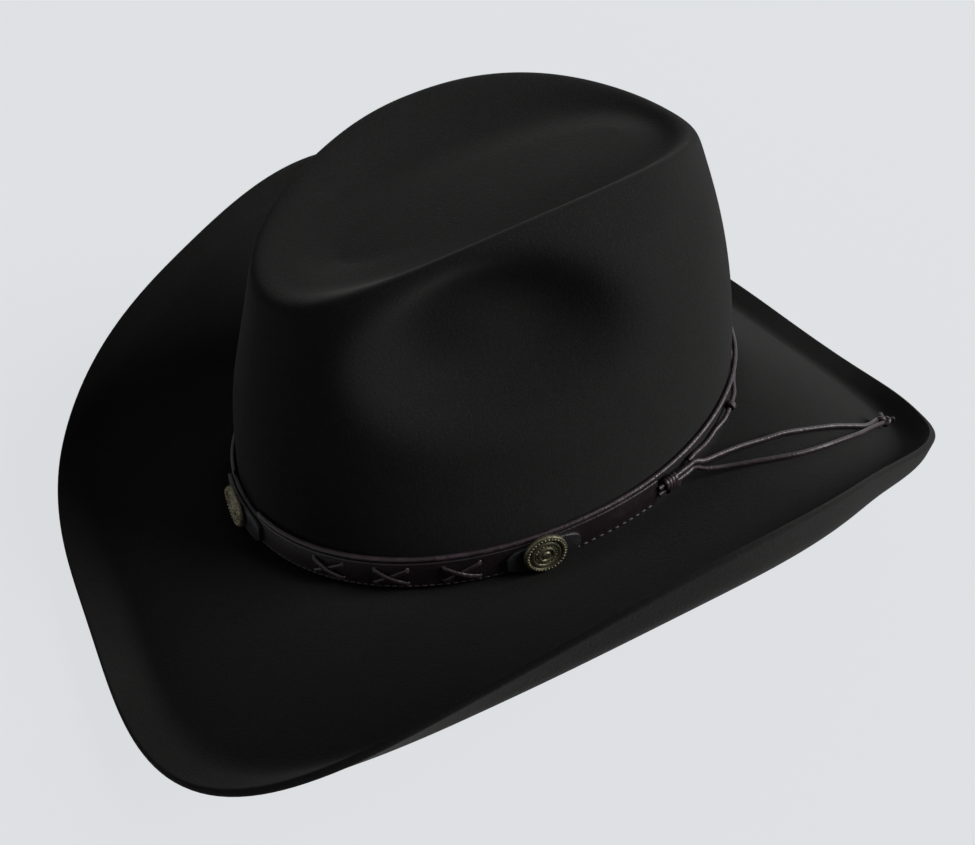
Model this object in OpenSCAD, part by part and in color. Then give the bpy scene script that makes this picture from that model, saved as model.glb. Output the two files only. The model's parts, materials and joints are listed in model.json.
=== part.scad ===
// Western felt hat with a leather and lace hat band.
// Front of the hat is -Y, the wearer's left is +X, up is +Z. The hat stands on its brim at z = 0.
// Angles round the hat run from 0 at the front, through 90 at the wearer's left, to 180 at the back.

/* [Head opening] */
// Length of the felt oval where the crown meets the brim
oval_l = 208; // [196:1:220]
// Width of the felt oval where the crown meets the brim
oval_w = 159; // [150:1:170]
// Squareness of the oval, where 2 is an ellipse
oval_n = 2.1; // [2:0.05:2.3]
// Thickness of the felt
felt_t = 2.5; // [2:0.1:3]
// Sag of the brim break at the sides below its ends
break_sag = 3; // [0:0.5:6]
// Rise of the brim break from its middle to the back
break_pitch = 10; // [4:0.5:14]

/* [Crown] */
// Height of the ridge above the brim break at the back
crown_back_h = 113; // [95:1:125]
// Height of the ridge above the brim break at the front
crown_front_h = 86.5; // [75:0.5:100]
// Extra height of the ridge at the sides
crown_arch = 18; // [10:1:28]
// Length of the ridge loop
ridge_l = 163; // [150:1:176]
// Width of the ridge loop before it is pinched
ridge_w = 112; // [90:1:118]
// How far the ridge loop is pinched in towards the front
ridge_pinch = 0.055; // [0:0.005:0.3]
// Straightness of the crown wall, where a larger value keeps it upright for longer
wall_power = 2; // [1.5:0.05:2.5]
// Length of the crease in the top of the crown
crease_l = 112; // [96:1:126]
// Height of the crease floor above the brim break at the back
crease_back_h = 104; // [94:1:108]
// Height of the crease floor above the brim break at the front
crease_front_h = 89.5; // [82:0.5:94]
// How much the crease floor rises between its two ends
crease_rise = 5; // [0:0.5:8]
// Depth of the dent in each side of the crown
dent_d = 16; // [8:0.5:18]
// Depth of the shallow hollow behind and below each dent
hollow_d = 7; // [0:0.5:9]
// Depth of the pinch on each side of the crown's front
pinch_d = 2; // [0:0.5:8]

/* [Brim] */
// Width of the felt from the break to the edge at the front
brim_w_front = 70; // [64:1:80]
// Width of the brim 30 degrees round from the front
brim_w_30 = 87; // [80:1:98]
// Width of the brim 60 degrees round from the front
brim_w_60 = 90; // [84:1:100]
// Width of the brim at the sides
brim_w_side = 101; // [88:1:104]
// Width of the brim 120 degrees round from the front
brim_w_120 = 83; // [78:1:94]
// Width of the brim 150 degrees round from the front
brim_w_150 = 93; // [84:1:102]
// Width of the brim at the back
brim_w_back = 108; // [92:1:112]
// Slope of the brim at the front, in degrees
dip_front = -22; // [-26:1:-16]
// Slope of the brim at the sides, in degrees
rise_side = 24; // [14:1:28]
// Slope of the brim at the back, in degrees
dip_back = -29; // [-32:1:-22]
// Further turn of the brim out to its rolled edge at the front, in degrees
sweep_front = -11; // [-16:1:0]
// Further turn of the brim out to its rolled edge at the sides, in degrees
sweep_side = 28; // [18:1:34]
// Further turn of the brim out to its rolled edge at the back, in degrees
sweep_back = -13; // [-18:1:0]
// Height of the rolled edge
roll_h = 14; // [10:0.5:17]
// Angle that the rolled edge stands at, in degrees, at the front
roll_front = 18; // [0:1:60]
// Angle of the rolled edge 30 degrees from the front
roll_30 = 44; // [20:1:80]
// Angle of the rolled edge 60 degrees from the front
roll_60 = 84; // [50:1:100]
// Angle of the rolled edge at the sides
roll_side = 98; // [80:1:102]
// Angle of the rolled edge 120 degrees from the front
roll_120 = 96; // [60:1:102]
// Angle of the rolled edge 150 degrees from the front
roll_150 = 64; // [30:1:90]
// Angle of the rolled edge at the back
roll_back = 14; // [0:1:60]
// Felt from the start of the roll's bend to its middle
roll_bend = 4; // [3:0.25:5]
// Flat width at the break before the brim takes its slope
root_w = 14; // [8:1:18]

/* [Sweatband] */
// Height of the sweatband
sweat_h = 36; // [25:1:45]
// Thickness of the sweatband
sweat_t = 1.2; // [0.8:0.1:2]
// Diameter of the reed in the sweatband's seam
reed_d = 2; // [1.5:0.1:2.4]
// Width of the bow at the back of the sweatband
bow_w = 22; // [16:1:30]

/* [Hat band] */
// Height of the strap
strap_h = 11.4; // [10:0.2:13]
// Thickness of the strap
strap_t = 2; // [1.8:0.1:2.4]
// Height of the strap's lower edge above the brim break
strap_low = 1.6; // [1.4:0.1:2.4]
// Angle from the front at which each end of the strap lies
strap_end = 103; // [98:1:106]
// Diameter of the leather lace
lace_d = 2; // [1.6:0.1:2.2]
// Angle from the front at which each side concho sits
concho_angle = 78; // [74:1:80]
// Diameter of a concho
concho_d = 16; // [14:0.5:17]
// Thickness of a concho
concho_t = 2.6; // [2:0.1:3.5]
// Width of the leather pad under a concho
pad_w = 25; // [22:0.5:27]
// Thickness of the leather pad under a concho
pad_t = 1.6; // [1.2:0.1:2]
// Diameter of the screw that holds a concho
screw_d = 2.5; // [2:0.1:3]
// Number of lace crosses on each side
cross_n = 3; // [1:1:3]

/* [Slide knot] */
// Length of the wrapped knot
knot_l = 8; // [6:0.5:9]
// Thickness of the wrapped knot
knot_t = 4.6; // [4.2:0.1:5.2]
// Travel of the knot along its two laces
knot_travel = 6; // [4:0.5:8]

/* [Hidden] */

// Clearance between a soft piece and its neighbour
gap = 0.3;
// Clearance on the radius between a lace and what slides along it
slide_gap = 0.08;
// Columns of the felt loft, one every 6 degrees
COLS = 60;
STEP = 360 / COLS;

// ---- small maths ----
function unit(v) = v / norm(v);
function spow(v, p) = sign(v) * pow(abs(v), p);
function mix(p, q, k) = p * (1 - k) + q * k;
function smooth(k) = let (c = min(max(k, 0), 1)) c * c * (3 - 2 * c);
function total(v, n) = n == 0 ? v[0] * 0 : v[n - 1] + total(v, n - 1);

// Value at angle a from keys spread evenly from the front to the back, the same on both sides
function around(keys, a) =
    let (n = len(keys) - 1,
         s = abs(a > 180 ? a - 360 : a) * n / 180,
         i = min(floor(s), n - 1),
         u = s - i,
         p0 = keys[i == 0 ? 1 : i - 1],
         p3 = keys[i + 2 > n ? n - 1 : i + 2])
    (2 * keys[i] + (keys[i + 1] - p0) * u
        + (2 * p0 - 5 * keys[i] + 4 * keys[i + 1] - p3) * u * u
        + (3 * keys[i] - p0 - 3 * keys[i + 1] + p3) * u * u * u) / 2;

// Uniform cubic B-spline through mirrored ends
function bspline(c, v) =
    let (n = len(c) - 1,
         i = min(floor(v), n - 1),
         u = v - i,
         p0 = i == 0 ? 2 * c[0] - c[1] : c[i - 1],
         p3 = i + 2 > n ? 2 * c[n] - c[n - 1] : c[i + 2])
    (pow(1 - u, 3) * p0 + (3 * u * u * u - 6 * u * u + 4) * c[i]
        + (1 + 3 * u + 3 * u * u - 3 * u * u * u) * c[i + 1] + u * u * u * p3) / 6;

// ---- the felt, measured from the middle height of the brim break ----
function oval_xy(a) = [oval_w / 2 * spow(sin(a), 2 / oval_n), -oval_l / 2 * spow(cos(a), 2 / oval_n)];
function out_dir(a) = let (p = oval_xy(a)) unit([p.x / pow(oval_w / 2, 2), p.y / pow(oval_l / 2, 2), 0]);
function break_pt(a) = let (p = oval_xy(a)) [p.x, p.y, -break_sag * pow(sin(a), 2) - break_pitch * cos(a)];

function ridge_pt(a) =
    let (f = (1 + cos(a)) / 2)
    [ridge_w / 2 * spow(sin(a), 0.9) * (1 - ridge_pinch * pow(f, 1.2)),
     -ridge_l / 2 * spow(cos(a), 0.95) - RIDGE_BACK,
     mix(crown_back_h, crown_front_h, f) + crown_arch * pow(sin(a), 2)];
// How far the ridge loop lies ahead of the oval's middle
RIDGE_BACK = 3.3;

function crease_pt(a) =
    [CREASE_HALF * sin(a), -crease_l / 2 * cos(a),
     mix(crease_back_h, crease_front_h, (1 + cos(a)) / 2) + crease_rise * pow(sin(a), 2)];
// Half the width of the crease's floor
CREASE_HALF = 1.5;

// Share of full depth at angle a and height share k, for a dent centred at (ca, ck) with radii (ra, rk).
// A larger power gives it a flatter floor and a steeper rim.
function dent_share(a, k, ca, ck, ra, rk, power) =
    let (s = abs(a > 180 ? a - 360 : a), q = pow((s - ca) / ra, 2) + pow((k - ck) / rk, 2))
    exp(-pow(q, power));
function dent_at(a, k) = dent_d * dent_share(a, k, 72, 0.615, 25, 0.22, 2.3)
    + hollow_d * dent_share(a, k, 93, 0.54, 36, 0.18, 1.3)
    + pinch_d * dent_share(a, k, 17, 0.74, 22, 0.2, 1.3);

// Heights of the crown's control rows, as shares of the way from break to ridge
WALL_ROWS = [0, 0.14, 0.38, 0.605, 0.825, 0.955];
CREST_UP = 1;
function wall_ctrl(b, r, n, a, k) =
    let (p = mix(b, r, pow(k, wall_power)), d = dent_at(a, k))
    [p.x - n.x * d, p.y - n.y * d, mix(b.z, r.z, k)];
function dip_between(r, v, across, down) = let (p = mix(r, v, across)) [p.x, p.y, mix(r.z, v.z, down)];
function crown_ctrl(a) =
    let (b = break_pt(a), r = ridge_pt(a), v = crease_pt(a), n = out_dir(a))
    [for (k = WALL_ROWS) wall_ctrl(b, r, n, a, k),
     r + [0, 0, CREST_UP],
     dip_between(r, v, 0.36, 0.565),
     dip_between(r, v, 0.5, 0.84),
     v];

// Point on the outside of the crown at angle a and height h above the break, moved out by off
function wall_pt(a, h, off = 0) =
    let (c = crown_ctrl(a),
         v = lookup(h, [for (v = [0:0.1:2.6]) [bspline(c, v).z - c[0].z, v]]))
    bspline(c, v) + out_dir(a) * off;

// Brim: slope at a distance d of felt from the break
function brim_w(a) =
    around([brim_w_front, brim_w_30, brim_w_60, brim_w_side, brim_w_120, brim_w_150, brim_w_back], a);
// Value at angle a of a smooth wave through one value at the front, one at both sides and one at the back
function wave(front, side, back, a) =
    (front + back + 2 * side) / 4 + (front - back) / 2 * cos(a) + (front + back - 2 * side) / 4 * cos(2 * a);
function roll_angle(a) = around([roll_front, roll_30, roll_60, roll_side, roll_120, roll_150, roll_back], a);
function brim_slope(a, d) =
    let (roll = brim_w(a) - roll_h,
         lie = wave(dip_front, rise_side, dip_back, a)
             + wave(sweep_front, sweep_side, sweep_back, a) * pow(min(d / roll, 1), 1.3))
    mix(lie * smooth(d / root_w), roll_angle(a), smooth((d - roll + roll_bend) / (2 * roll_bend)));
// Run and rise over one stretch of felt, from four short steps
function brim_step(a, d0, d1) =
    let (s = (d1 - d0) / 4, m = [for (k = [0:3]) brim_slope(a, d0 + s * (k + 0.5))])
    s * [total([for (t = m) cos(t)], 4), total([for (t = m) sin(t)], 4)];
function brim_marks(a) =
    let (flat = brim_w(a) - roll_h - roll_bend)
    [0, root_w / 2, root_w, mix(root_w, flat, 0.35), mix(root_w, flat, 0.7), flat,
     flat + 0.7 * roll_bend, flat + 1.3 * roll_bend, flat + 2 * roll_bend, brim_w(a)];
function brim_column(a) =
    let (b = break_pt(a), n = out_dir(a), m = brim_marks(a),
         steps = [for (i = [1:len(m) - 1]) brim_step(a, m[i - 1], m[i])])
    [for (i = [0:len(m) - 1]) let (p = total(steps, i)) b + n * p.x + [0, 0, p.y]];

// Rows of the upper skin: brim edge, brim, break, crown wall, ridge, crease
CROWN_V = [0.35, 0.8, 1.3, 1.9, 2.5, 3.1, 3.7, 4.3, 4.9, 5.3, 5.7, 6.1, 6.5, 7, 7.7, 8.4, 9];
UPPER_COLS = [for (j = [0:COLS - 1])
    let (a = j * STEP, brim = brim_column(a), c = crown_ctrl(a))
    [for (i = [len(brim) - 1:-1:0]) brim[i], for (v = CROWN_V) bspline(c, v)]];
ROWS = len(UPPER_COLS[0]);
function col(j) = UPPER_COLS[(j + COLS) % COLS];
function felt_normal(i, j) =
    unit(cross(col(j + 1)[i] - col(j - 1)[i], col(j)[min(i + 1, ROWS - 1)] - col(j)[max(i - 1, 0)]));
LOWER_COLS = [for (j = [0:COLS - 1]) [for (i = [0:ROWS - 1]) col(j)[i] - felt_t * felt_normal(i, j)]];

// The hat is moved so that its brim rests on z = 0 with its length centred on the origin
EDGE_Y = [for (c = LOWER_COLS) for (p = c) p.y];
HAT_AT = [0, -(min(EDGE_Y) + max(EDGE_Y)) / 2, -min([for (c = LOWER_COLS) for (p = c) p.z])];
module on_hat() {
    translate(HAT_AT) children();
}

// ---- general sweeps ----
// Solid through rings of points, each ring running anticlockwise as seen along the sweep
module skin(rings, closed = false) {
    n = len(rings);
    m = len(rings[0]);
    sides = [for (i = [0:closed ? n - 1 : n - 2]) for (k = [0:m - 1])
        let (p = i * m + k, q = i * m + (k + 1) % m,
             r = ((i + 1) % n) * m + (k + 1) % m, s = ((i + 1) % n) * m + k)
        each [[p, q, r], [p, r, s]]];
    ends = closed ? [] : [[for (k = [m - 1:-1:0]) k], [for (k = [0:m - 1]) (n - 1) * m + k]];
    polyhedron([for (r = rings) each r], concat(sides, ends), convexity = 10);
}
function heading(path, i, closed) =
    let (n = len(path))
    unit(path[closed ? (i + 1) % n : min(i + 1, n - 1)] - path[closed ? (i + n - 1) % n : max(i - 1, 0)]);
// Lace of width w and thickness t through a path, with its width lying along the side vector at each point
module lace(path, w, t, side, sides = 6, closed = false) {
    skin([for (i = [0:len(path) - 1])
        let (f = heading(path, i, closed), v = is_list(side[0]) ? side[i] : side,
             x = unit(v - (v * f) * f), y = cross(x, f))
        [for (k = [0:sides - 1]) path[i] + w / 2 * cos(360 * k / sides) * x + t / 2 * sin(360 * k / sides) * y]],
        closed);
}
// Ring of points at angle a, from a section given as [distance out of the crown, height above the break]
function wall_ring(a, section) = [for (s = section) wall_pt(a, s.y, s.x)];
// Frame on the crown: x runs square out of it, y along it and z up its wall
module at_wall(a, h, off = 0) {
    n = out_dir(a);
    up = wall_pt(a, h + 4) - wall_pt(a, h - 4);
    translate(wall_pt(a, h)) rotate([0, atan2(up * n, up.z), atan2(n.y, n.x)]) translate([off, 0, 0]) children();
}
// Degrees that a length spans along the foot of the crown at angle a
function span(a, length) = length * 2 / norm(break_pt(a + 1) - break_pt(a - 1));

// ---- felt ----
module felt_body() {
    up = [for (j = [0:COLS - 1]) each UPPER_COLS[j]];
    low = [for (j = [0:COLS - 1]) each LOWER_COLS[j]];
    at = COLS * ROWS;
    half = COLS / 2;
    function id(i, j) = (j % COLS) * ROWS + i;
    walls = [for (j = [0:COLS - 1]) for (i = [0:ROWS - 2])
        let (a = id(i, j), b = id(i + 1, j), c = id(i + 1, j + 1), d = id(i, j + 1))
        each [[a, b, c], [a, c, d], [at + a, at + c, at + b], [at + a, at + d, at + c]]];
    edge = [for (j = [0:COLS - 1])
        let (a = id(0, j), d = id(0, j + 1))
        each [[a, d, at + d], [a, at + d, at + a]]];
    // The narrow loop at the foot of the crease is closed by a strip of faces across it
    across = [for (j = [0:half - 1])
        let (a = id(ROWS - 1, j), b = id(ROWS - 1, j + 1),
             c = id(ROWS - 1, COLS - j - 1), d = id(ROWS - 1, COLS - j))
        each [if (j > 0) [a, d, c], if (j < half - 1) [a, c, b],
              if (j > 0) [at + a, at + c, at + d], if (j < half - 1) [at + a, at + b, at + c]]];
    color("#2a2627") on_hat() polyhedron(concat(up, low), concat(walls, edge, across), convexity = 20);
}

// ---- sweatband ----
// Height of the sweatband's lower edge, just above the reed
SWEAT_LOW = reed_d + 2 * gap;
// Distance in from the outside of the crown to the face of the sweatband that lies on the felt
SWEAT_IN = felt_t + gap + 0.7;
module sweatband() {
    top = SWEAT_LOW + sweat_h;
    heights = [for (k = [0:4]) mix(SWEAT_LOW, top, k / 4)];
    section = [for (h = heights) [-SWEAT_IN, h], for (i = [4:-1:0]) [-SWEAT_IN - sweat_t, heights[i]]];
    color("#3a2a20") on_hat() skin([for (j = [0:COLS - 1]) wall_ring(j * STEP, section)], true);
}
module sweatband_reed() {
    path = [for (j = [0:COLS - 1]) wall_pt(j * STEP, gap + reed_d / 2, -SWEAT_IN - reed_d / 2)];
    color("#1d1d1f") on_hat() lace(path, reed_d, reed_d, [0, 0, 1], 6, true);
}
// Bow of narrow ribbon, flat against the sweatband where its ends meet at the back
BOW_T = 1;
BOW_H = 7;
module sweatband_bow() {
    // The ribbon is flat and the sweatband hollow, so only the tips of the bow come near it
    stand = pow(bow_w / 2, 2) / oval_w * 2;
    color("#1b1b1d") on_hat()
        at_wall(180, SWEAT_LOW + BOW_H, -SWEAT_IN - sweat_t - gap - stand) rotate([90, 0, -90]) {
            for (s = [-1, 1]) scale([s, 1, 1]) linear_extrude(BOW_T)
                polygon([[1, 1], [bow_w / 2, BOW_H / 2], [bow_w / 2, -BOW_H / 2], [1, -1]]);
            translate([-1.5, -1.8, 0]) cube([3, 3.6, 2 * BOW_T]);
        }
}

// ---- strap of the hat band ----
// Depth and edge of the channel in the strap's back, which takes the lace runs and the screw heads
CHANNEL_D = strap_t / 2;
CHANNEL_EDGE = 1.2;
STRAP_TOP = strap_low + strap_h;
// Distance out of the crown to the strap's face
STRAP_FACE = gap + strap_t;
// Clearance between pieces that are laced or screwed to the strap
snug = 0.08;
CHAMFER = 0.4;
STRAP_SECTION = [[STRAP_FACE - CHAMFER, strap_low], [STRAP_FACE, strap_low + CHAMFER],
    [STRAP_FACE, STRAP_TOP - CHAMFER], [STRAP_FACE - CHAMFER, STRAP_TOP], [gap, STRAP_TOP],
    [gap, STRAP_TOP - CHANNEL_EDGE], [gap + CHANNEL_D, STRAP_TOP - CHANNEL_EDGE],
    [gap + CHANNEL_D, strap_low + CHANNEL_EDGE], [gap, strap_low + CHANNEL_EDGE], [gap, strap_low]];
STRAP_RINGS = 52;

// Conchos sit just above the brim, each with its screw through the strap and the pad
CONCHO_H = concho_d / 2 + 0.8;
CONCHO_AT = [0, concho_angle, -concho_angle];
PAD_FACE = STRAP_FACE + snug + pad_t;
HEAD_D = 2 * (STRAP_TOP - CHANNEL_EDGE - CONCHO_H - 0.3);
HEAD_T = CHANNEL_D - 0.25;

// Lace crosses between the front and side pads
LACE_T = 0.8;
LACE_W = 1.8;
PAD_HALF = pad_w / 2;
CROSS_FROM = span(0, PAD_HALF) + 14;
CROSS_TO = concho_angle - span(concho_angle, PAD_HALF) - 2;
CROSS_PITCH = (CROSS_TO - CROSS_FROM) / cross_n;
CROSS_HALF = min(CROSS_PITCH * 0.27, 6);
CROSS_HI = STRAP_TOP - CHANNEL_EDGE - LACE_W / 2 - 0.2;
CROSS_LO = strap_low + CHANNEL_EDGE + LACE_W / 2 + 0.2;
LACE_HOLE = 2.6;
function cross_at(i) = CROSS_FROM + (i + 0.5) * CROSS_PITCH;

module band_strap() {
    color("#241a1c") on_hat() difference() {
        skin([for (i = [0:STRAP_RINGS]) wall_ring(-strap_end + 2 * strap_end * i / STRAP_RINGS, STRAP_SECTION)]);
        for (a = CONCHO_AT) at_wall(a, CONCHO_H, -1) rotate([0, 90, 0])
            cylinder(d = screw_d + 2 * snug, h = strap_t + 4, $fn = 24);
        for (s = [-1, 1]) for (i = [0:cross_n - 1]) for (e = [-1, 1]) for (h = [CROSS_LO, CROSS_HI])
            at_wall(s * (cross_at(i) + e * CROSS_HALF), h, -1) rotate([0, 90, 0])
                cylinder(d = LACE_HOLE, h = strap_t + 4, $fn = 8);
    }
}

// Rounded leather tab over the strap, seen as [share of half width, share of half height]
PAD_OUTLINE = [[-1, 0.45], [-0.94, 0.78], [-0.82, 0.96], [-0.7, 1], [-0.45, 1], [-0.15, 1],
    [0.15, 1], [0.45, 1], [0.7, 1], [0.82, 0.96], [0.94, 0.78], [1, 0.45]];
module pad(a) {
    mid = (strap_low + STRAP_TOP) / 2;
    half = strap_h / 2 - 0.1;
    in = STRAP_FACE + snug;
    color("#2b2326") on_hat() difference() {
        skin([for (o = PAD_OUTLINE) let (h = half * o.y)
            wall_ring(a + span(a, PAD_HALF) * o.x,
                [[PAD_FACE - CHAMFER, mid - h], [PAD_FACE, mid - h + CHAMFER], [PAD_FACE, mid + h - CHAMFER],
                 [PAD_FACE - CHAMFER, mid + h], [in, mid + h], [in, mid - h]])]);
        at_wall(a, CONCHO_H, 0) rotate([0, 90, 0]) cylinder(d = screw_d + 2 * snug, h = 8, $fn = 24);
    }
}
// Turned disc with a stepped rim, two rings and a raised middle, bored from the back for its screw
module concho(a) {
    r = concho_d / 2;
    t = concho_t;
    color("#6f6544") on_hat() at_wall(a, CONCHO_H, PAD_FACE + snug) rotate([0, 90, 0]) difference() {
        rotate_extrude($fn = 64) polygon([[0, 0], [r - 0.8, 0], [r, 0.5], [r, t * 0.6], [r - 0.5, t * 0.78],
            [r - 1.4, t * 0.78], [r - 1.8, t * 0.55], [r - 2.4, t * 0.55], [r - 2.8, t * 0.8], [r - 3.6, t * 0.8],
            [r - 4, t * 0.62], [r - 5, t * 0.68], [r - 5.4, t * 0.92], [r - 6.4, t], [0, t]]);
        translate([0, 0, -1]) cylinder(d = screw_d + 2 * snug, h = 1 + t * 0.6 + snug, $fn = 24);
    }
}
module screw(a) {
    reach = PAD_FACE + snug + concho_t * 0.6 - gap;
    color("#8b8470") on_hat() at_wall(a, CONCHO_H, gap + 0.05) rotate([0, 90, 0]) difference() {
        union() {
            cylinder(d = HEAD_D, h = HEAD_T, $fn = 40);
            cylinder(d = screw_d, h = reach - 0.1, $fn = 24);
        }
        translate([-HEAD_D, -0.4, -1]) cube([2 * HEAD_D, 0.8, 1 + HEAD_T * 0.5]);
    }
}

// One lace of the crossed pair: it lies over the strap, dips through a hole and runs on behind the strap
FRONT = STRAP_FACE + snug + LACE_T / 2;
BACK = gap + LACE_T / 2;
function falls(i, pair) = (i + pair) % 2 == 0;
function cross_point(i, pair, k) =
    let (from = falls(i, pair) ? CROSS_HI : CROSS_LO, to = falls(i, pair) ? CROSS_LO : CROSS_HI,
         a = cross_at(i) + CROSS_HALF * k)
    [a, mix(from, to, (k + 1) / 2)];
// Rows of a crossing: share along it, distance out of the crown and whether its width lies upright
function cross_rows(over) = [[-1.25, BACK, true], [-1, BACK, false], [-1, FRONT, false],
    [-0.5, FRONT + (over ? LACE_T * 0.8 : 0), false], [0, FRONT + (over ? LACE_T + snug : 0), false],
    [0.5, FRONT + (over ? LACE_T * 0.8 : 0), false], [1, FRONT, false], [1, BACK, false], [1.25, BACK, true]];
module cross_lace(pair) {
    rows = [for (i = [0:cross_n - 1])
        let (p = cross_point(i, pair, -1), q = cross_point(i, pair, 1),
             along = unit(wall_pt(q.x, q.y, FRONT) - wall_pt(p.x, p.y, FRONT)))
        for (r = cross_rows(falls(i, pair)))
        let (c = cross_point(i, pair, max(-1, min(1, r.x))), a = cross_at(i) + CROSS_HALF * r.x)
        [wall_pt(a, c.y, r.y), r.z ? [0, 0, 1] : cross(out_dir(a), along)]];
    color("#33252a") on_hat() lace([for (r = rows) r[0]], LACE_W, LACE_T, [for (r = rows) r[1]]);
}

// ---- laces at the back ----
// Lace along the strap's top edge from the front pad round the back to the front pad again
TOP_LACE_H = STRAP_TOP + snug + lace_d / 2;
TOP_LACE_OFF = gap + lace_d / 2;
module top_lace() {
    first = span(0, PAD_HALF) + 1;
    n = 72;
    path = [for (i = [0:n]) let (a = first + (360 - 2 * first) * i / n)
        wall_pt(a, TOP_LACE_H + BACK_RISE * smooth((90 - abs(a - 180)) / 50), TOP_LACE_OFF)];
    color("#2c2024") on_hat() lace(path, lace_d, lace_d, [0, 0, 1]);
}
// How much higher the top lace lies at the back than on the strap
BACK_RISE = 3;

// Two straight leads from the strap's left end, one above the other, that the knot slides on
// Where the knot starts, a little clear of the strap
KNOT_START = 2.5;
LEAD_GAP = lace_d + 1.2;
LEAD_H = (strap_low + STRAP_TOP) / 2 + 0.5;
KNOT_IN = knot_t / 2 + gap + 0.25;
LEAD_L = KNOT_START + knot_l + knot_travel + 0.5;
LEAD_AT = wall_pt(strap_end, LEAD_H, KNOT_IN);
LEAD_DIR = unit(wall_pt(strap_end + 4, LEAD_H, KNOT_IN) - wall_pt(strap_end, LEAD_H, KNOT_IN));
LEAD_YAW = atan2(LEAD_DIR.y, LEAD_DIR.x);
LEAD_PITCH = -asin(LEAD_DIR.z);
// Frame on the leads: x runs along them away from the strap, z up between them
module on_leads(along = 0, up = 0) {
    translate(LEAD_AT) rotate([0, LEAD_PITCH, LEAD_YAW]) translate([along, 0, up]) children();
}
function lead_pt(along, up) =
    LEAD_AT + along * LEAD_DIR + up * [-sin(-LEAD_PITCH) * cos(LEAD_YAW), -sin(-LEAD_PITCH) * sin(LEAD_YAW), cos(LEAD_PITCH)];
module lead(up) {
    color("#2c2024") on_hat() on_leads(3 * snug, up) rotate([0, 90, 0]) cylinder(d = lace_d, h = LEAD_L - 3 * snug, $fn = 24);
}

// Second lace round the back, from the leads' far end to the strap's right end
LOW_LACE_H = 7;
// Where the stop knot is tied, its radius, and how far it holds the lace off the felt
STOP_ANGLE = 135;
STOP_R = lace_d / 2 + 1.2;
STOP_OUT = STOP_R - lace_d / 2;
module low_back_lace() {
    start = strap_end + span(strap_end, LEAD_L) + 0.8;
    stop = 360 - strap_end - 0.3;
    n = 16;
    // Rings are closer on the left, where the lace leaves the leads and passes through the stop knot
    angles = [for (i = [0:2 * n]) i < n ? mix(start, 150, i / n) : mix(150, stop, (i - n) / n)];
    path = [for (a = angles)
        wall_pt(a, mix(LEAD_H + LEAD_GAP / 2, LOW_LACE_H, smooth((a - start) / 9)),
            TOP_LACE_OFF + 0.5 * (1 - smooth((a - start) / 4)) + STOP_OUT * smooth((10 - abs(a - STOP_ANGLE)) / 6))];
    color("#2c2024") on_hat() lace(path, lace_d, lace_d, [0, 0, 1]);
}
// Small knot tied in the lower lace, wrapped round it
module stop_knot() {
    color("#2c2024") on_hat() at_wall(STOP_ANGLE, LOW_LACE_H, TOP_LACE_OFF + STOP_OUT) rotate([90, 0, 0]) difference() {
        union() {
            translate([0, 0, -2]) cylinder(r = STOP_R - 0.4, h = 4, $fn = 32);
            for (s = [-1, 1]) translate([0, 0, s - 0.8]) cylinder(r = STOP_R, h = 1.6, $fn = 32);
        }
        translate([0, 0, -3]) cylinder(d = lace_d + 6 * snug, h = 6, $fn = 24);
    }
}
// Knot of four turns round both leads, with a bore for each
module slide_knot() {
    turn = knot_l / 4;
    module turns(t, x, l) {
        translate([x, 0, 0]) rotate([90, 0, 90]) linear_extrude(l) {
            square([t, LEAD_GAP], center = true);
            for (s = [-1, 1]) translate([0, s * LEAD_GAP / 2]) circle(d = t, $fn = 32);
        }
    }
    color("#3b2c2c") on_hat() on_leads(KNOT_START) difference() {
        union() {
            turns(knot_t - 1, 0, knot_l);
            for (i = [0:3]) turns(knot_t, i * turn + 0.15, turn - 0.3);
        }
        for (s = [-1, 1]) translate([-1, 0, s * LEAD_GAP / 2]) rotate([0, 90, 0])
            cylinder(d = lace_d + 2 * slide_gap, h = knot_l + 2, $fn = 24);
    }
}

// ---- loose tails, lying on the brim ----
// Smooth curve through points, n stretches between each two
function curve(p, n) =
    let (m = len(p) - 1)
    [for (i = [0:m - 1]) for (k = [0:n - 1])
        let (u = k / n, a = i == 0 ? 2 * p[0] - p[1] : p[i - 1], d = i == m - 1 ? 2 * p[m] - p[m - 1] : p[i + 2])
        (2 * p[i] + (p[i + 1] - a) * u + (2 * a - 5 * p[i] + 4 * p[i + 1] - d) * u * u
            + (3 * p[i] - a - 3 * p[i + 1] + d) * u * u * u) / 2,
     p[m]];
// Routes from the middle of the head opening, which is the hat's own origin
UPPER_ROUTE = [[77, 48.9, 9.7], [76, 58.4, 8.4], [76, 67.9, 7.9], [77, 77.9, 7.5], [78, 87.9, 7.3],
    [80, 99.9, 5.7], [82, 110.9, 3.9], [83.5, 120.9, 0.9], [84, 128.9, -1.9]];
LOWER_ROUTE = [[78.5, 48.9, 6.9], [81, 56.4, 6.5], [84.5, 64.9, 7.4], [88, 73.9, 8.2], [91, 83.9, 8.5],
    [92, 95.9, 7.7], [91, 107.9, 5.3], [89, 118.9, 1.9], [86.5, 127.4, -1.2]];
END_KNOT_AT = HAT_AT + [81.5, 141.4, -6.1];
END_KNOT_R = 2.5;
// The tail starts at its lead's end and stops at the surface of the end knot, beside the other
END_DIR = unit(2 * HAT_AT + UPPER_ROUTE[8] + LOWER_ROUTE[8] - 2 * END_KNOT_AT);
module tail(side, route) {
    from = HAT_AT + lead_pt(LEAD_L + 2 * snug, side * LEAD_GAP / 2);
    to = END_KNOT_AT + (END_KNOT_R + snug) * END_DIR + side * (lace_d / 2 + 0.3) * unit(cross(END_DIR, [0, 0, 1]));
    color("#2c2024") lace(curve(concat([from, from + 3 * LEAD_DIR], [for (p = route) HAT_AT + p], [to]), 3), lace_d, lace_d, [0, 0, 1], 8);
}
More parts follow.
